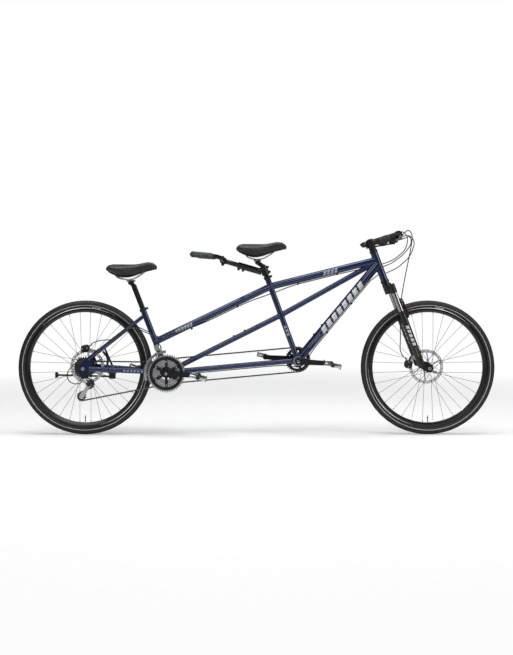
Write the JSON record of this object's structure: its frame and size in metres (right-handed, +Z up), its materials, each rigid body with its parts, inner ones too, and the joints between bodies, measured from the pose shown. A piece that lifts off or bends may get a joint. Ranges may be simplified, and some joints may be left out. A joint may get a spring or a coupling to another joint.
{
  "type": "tandem bicycle",
  "caption": "Two-rider bicycle: welded blue frame, suspension fork, disc brakes, chain that ties both cranksets, derailleur gears, padded saddles, wide bars and side stand.",
  "frame": {"origin": "on the ground, midway between the wheel axles, in the middle plane", "axes": "+X forward along the bicycle, +Z up, drive side at -Y"},
  "size_m": [2.4909, 0.675, 1.0655],
  "materials": {
    "frame_paint": "deep blue metallic, glossy",
    "black_enamel": "satin black",
    "black_moulding": "satin black",
    "housing_black": "glossy black",
    "silver_alloy": "polished",
    "steel_bright": "bright",
    "chain_steel": "oiled",
    "tyre_black": "black with a thin pale sidewall line",
    "grip_black": "matte black",
    "grip_grey": "matte grey and black",
    "saddle_cover": "satin black"
  },
  "bodies": {
    "frame": {"welded_frame": "frame_paint", "bearing_cups": "silver_alloy", "seat_collars": "black_enamel", "frame_fittings": "black_enamel", "frame_cables": "housing_black", "drive_chain": "chain_steel", "timing_chain": "chain_steel", "rear_axle": "steel_bright", "rear_caliper": "black_enamel", "front_derailleur_clamp": "silver_alloy"},
    "rear_wheel": {"rear_tyre": "tyre_black", "rear_rim": "black_enamel", "rear_spokes": "steel_bright", "rear_hub": "black_enamel", "rear_rotor": "steel_bright"},
    "cassette_cogs": {"cassette": "steel_bright"},
    "stoker_crankset": {"chainrings": "steel_bright", "stoker_cranks": "black_enamel", "stoker_timing_ring": "black_enamel", "stoker_crank_axles": "steel_bright"},
    "captain_crankset": {"captain_cranks": "black_enamel", "captain_timing_ring": "black_enamel", "captain_crank_axles": "steel_bright"},
    "captain_pedal_right": {"captain_right_pedal": "silver_alloy"},
    "captain_pedal_left": {"captain_left_pedal": "silver_alloy"},
    "stoker_pedal_right": {"stoker_right_pedal": "silver_alloy"},
    "stoker_pedal_left": {"stoker_left_pedal": "silver_alloy"},
    "steering": {"fork_upper": "black_enamel", "stem": "black_enamel", "handlebar": "black_enamel", "captain_grips": "grip_black", "bar_controls": "black_moulding", "steering_cables": "housing_black"},
    "brake_lever_left": {"left_brake_lever": "silver_alloy"},
    "brake_lever_right": {"right_brake_lever": "silver_alloy"},
    "shift_paddle_left": {"left_shift_paddle": "black_moulding"},
    "shift_paddle_right": {"right_shift_paddle": "black_moulding"},
    "fork_slider": {"fork_lowers": "black_enamel", "front_caliper": "black_enamel", "front_axle": "steel_bright"},
    "front_wheel": {"front_tyre": "tyre_black", "front_rim": "black_enamel", "front_spokes": "steel_bright", "front_hub": "black_enamel", "front_rotor": "steel_bright"},
    "captain_post": {"captain_seatpost": "black_enamel", "captain_saddle": "saddle_cover", "stoker_stem_clamp": "black_enamel"},
    "stoker_stem": {"stoker_stem_tube": "black_enamel", "stoker_handlebar": "black_enamel", "stoker_grips": "grip_grey"},
    "stoker_post": {"stoker_seatpost": "black_enamel", "stoker_saddle": "saddle_cover"},
    "rear_derailleur_link": {"derailleur_link": "black_enamel"},
    "rear_derailleur_knuckle": {"derailleur_knuckle": "black_enamel"},
    "rear_derailleur_cage": {"derailleur_cage": "steel_bright"},
    "guide_wheel": {"guide_pulley": "black_moulding"},
    "tension_wheel": {"tension_pulley": "black_moulding"},
    "front_derailleur": {"front_derailleur_cage": "steel_bright"},
    "kickstand": {"kickstand_leg": "black_enamel"}
  },
  "joints": [
    {"name": "rear_wheel_spin", "type": "hinge", "parent": "frame", "child": "rear_wheel", "pos_m": [-0.8955, 0, 0.35], "axis": [0, 1, 0], "continuous": true},
    {"name": "stoker_crank_spin", "type": "hinge", "parent": "frame", "child": "stoker_crankset", "pos_m": [-0.46697, 0, 0.32422], "axis": [0, 1, 0], "continuous": true, "deforming": ["drive_chain", "timing_chain"]},
    {"name": "captain_crank_spin", "type": "hinge", "parent": "frame", "child": "captain_crankset", "pos_m": [0.216, 0, 0.3865], "axis": [0, 1, 0], "continuous": true, "deforming": ["timing_chain"]},
    {"name": "cassette_spin", "type": "hinge", "parent": "frame", "child": "cassette_cogs", "pos_m": [-0.8955, 0, 0.35], "axis": [0, 1, 0], "continuous": true, "deforming": ["drive_chain"]},
    {"name": "captain_right_pedal_spin", "type": "hinge", "parent": "captain_crankset", "child": "captain_pedal_right", "pos_m": [0.38572, -0.12, 0.37671], "axis": [0, 1, 0], "continuous": true},
    {"name": "captain_left_pedal_spin", "type": "hinge", "parent": "captain_crankset", "child": "captain_pedal_left", "pos_m": [0.04628, 0.12, 0.39629], "axis": [0, 1, 0], "continuous": true},
    {"name": "stoker_right_pedal_spin", "type": "hinge", "parent": "stoker_crankset", "child": "stoker_pedal_right", "pos_m": [-0.29725, -0.12, 0.31444], "axis": [0, 1, 0], "continuous": true},
    {"name": "stoker_left_pedal_spin", "type": "hinge", "parent": "stoker_crankset", "child": "stoker_pedal_left", "pos_m": [-0.63668, 0.12, 0.33401], "axis": [0, 1, 0], "continuous": true},
    {"name": "steer", "type": "hinge", "parent": "frame", "child": "steering", "pos_m": [0.66987, 0, 0.80481], "axis": [-0.3535, 0, 0.9354], "range_deg": [-45, 45], "deforming": ["steering_cables", "frame_cables"]},
    {"name": "fork_travel", "type": "slide", "parent": "steering", "child": "fork_slider", "axis": [-0.3535, 0, 0.9354], "range_m": [0, 0.063], "stiffness_N_per_m": 8000, "springref_m": -0.02, "deforming": ["steering_cables"]},
    {"name": "front_wheel_spin", "type": "hinge", "parent": "fork_slider", "child": "front_wheel", "pos_m": [0.8955, 0, 0.35], "axis": [0, 1, 0], "continuous": true},
    {"name": "left_brake_lever_pull", "type": "hinge", "parent": "steering", "child": "brake_lever_left", "pos_m": [0.72473, 0.16697, 1.02765], "axis": [-0.0832, 0.1423, 0.9863], "range_deg": [0, 15], "stiffness_Nm_per_rad": 1, "springref_deg": -14.32},
    {"name": "right_brake_lever_pull", "type": "hinge", "parent": "steering", "child": "brake_lever_right", "pos_m": [0.72473, -0.16697, 1.02765], "axis": [0.0832, 0.1423, -0.9863], "range_deg": [0, 15], "stiffness_Nm_per_rad": 1, "springref_deg": -14.32},
    {"name": "left_shift_paddle_push", "type": "hinge", "parent": "steering", "child": "shift_paddle_left", "pos_m": [0.68629, 0.18914, 0.99323], "axis": [-0.0832, 0.1423, 0.9863], "range_deg": [0, 20], "stiffness_Nm_per_rad": 0.3, "springref_deg": -14.32},
    {"name": "right_shift_paddle_push", "type": "hinge", "parent": "steering", "child": "shift_paddle_right", "pos_m": [0.68629, -0.18914, 0.99323], "axis": [0.0832, 0.1423, -0.9863], "range_deg": [0, 20], "stiffness_Nm_per_rad": 0.3, "springref_deg": -14.32},
    {"name": "captain_post_height", "type": "slide", "parent": "frame", "child": "captain_post", "axis": [-0.3469, 0, 0.9379], "range_m": [0, 0.06]},
    {"name": "stoker_stem_slide", "type": "slide", "parent": "captain_post", "child": "stoker_stem", "axis": [-0.9602, 0, 0.2795], "range_m": [0, 0.035]},
    {"name": "stoker_post_height", "type": "slide", "parent": "frame", "child": "stoker_post", "axis": [-0.3616, 0, 0.9323], "range_m": [-0.08, 0.06]},
    {"name": "rear_derailleur_shift", "type": "hinge", "parent": "frame", "child": "rear_derailleur_link", "pos_m": [-0.892, -0.08, 0.296], "axis": [-0.2, 0, 0.9798], "range_deg": [-37, 34], "deforming": ["drive_chain", "frame_cables"]},
    {"name": "rear_derailleur_knuckle_turn", "type": "hinge", "parent": "rear_derailleur_link", "child": "rear_derailleur_knuckle", "pos_m": [-0.862, -0.062, 0.268], "axis": [-0.2, 0, 0.9798], "range_deg": [-34, 37], "deforming": ["drive_chain", "frame_cables"]},
    {"name": "cage_swing", "type": "hinge", "parent": "rear_derailleur_knuckle", "child": "rear_derailleur_cage", "pos_m": [-0.866, -0.0431, 0.268], "axis": [0, 1, 0], "range_deg": [-50, 15], "stiffness_Nm_per_rad": 1, "deforming": ["drive_chain", "frame_cables"]},
    {"name": "guide_pulley_spin", "type": "hinge", "parent": "rear_derailleur_cage", "child": "guide_wheel", "pos_m": [-0.866, -0.0431, 0.268], "axis": [0, 1, 0], "continuous": true, "deforming": ["drive_chain"]},
    {"name": "tension_pulley_spin", "type": "hinge", "parent": "rear_derailleur_cage", "child": "tension_wheel", "pos_m": [-0.906, -0.0431, 0.204], "axis": [0, 1, 0], "continuous": true, "deforming": ["drive_chain"]},
    {"name": "front_derailleur_shift", "type": "slide", "parent": "frame", "child": "front_derailleur", "axis": [0, -1, 0], "range_m": [0, 0.0148], "deforming": ["drive_chain", "frame_cables"]},
    {"name": "kickstand_fold", "type": "hinge", "parent": "frame", "child": "kickstand", "pos_m": [-0.765, 0.084, 0.292], "axis": [0, -0.9781, -0.2079], "range_deg": [0, 72]}
  ],
  "couplings": [
    {"joint": "captain_crank_spin", "follows": "stoker_crank_spin", "ratio": 1},
    {"joint": "cassette_spin", "follows": "stoker_crank_spin", "ratio": 1.5556},
    {"joint": "guide_pulley_spin", "follows": "stoker_crank_spin", "ratio": -2.5455},
    {"joint": "tension_pulley_spin", "follows": "stoker_crank_spin", "ratio": 2.5455},
    {"joint": "rear_derailleur_knuckle_turn", "follows": "rear_derailleur_shift", "ratio": -1}
  ]
}
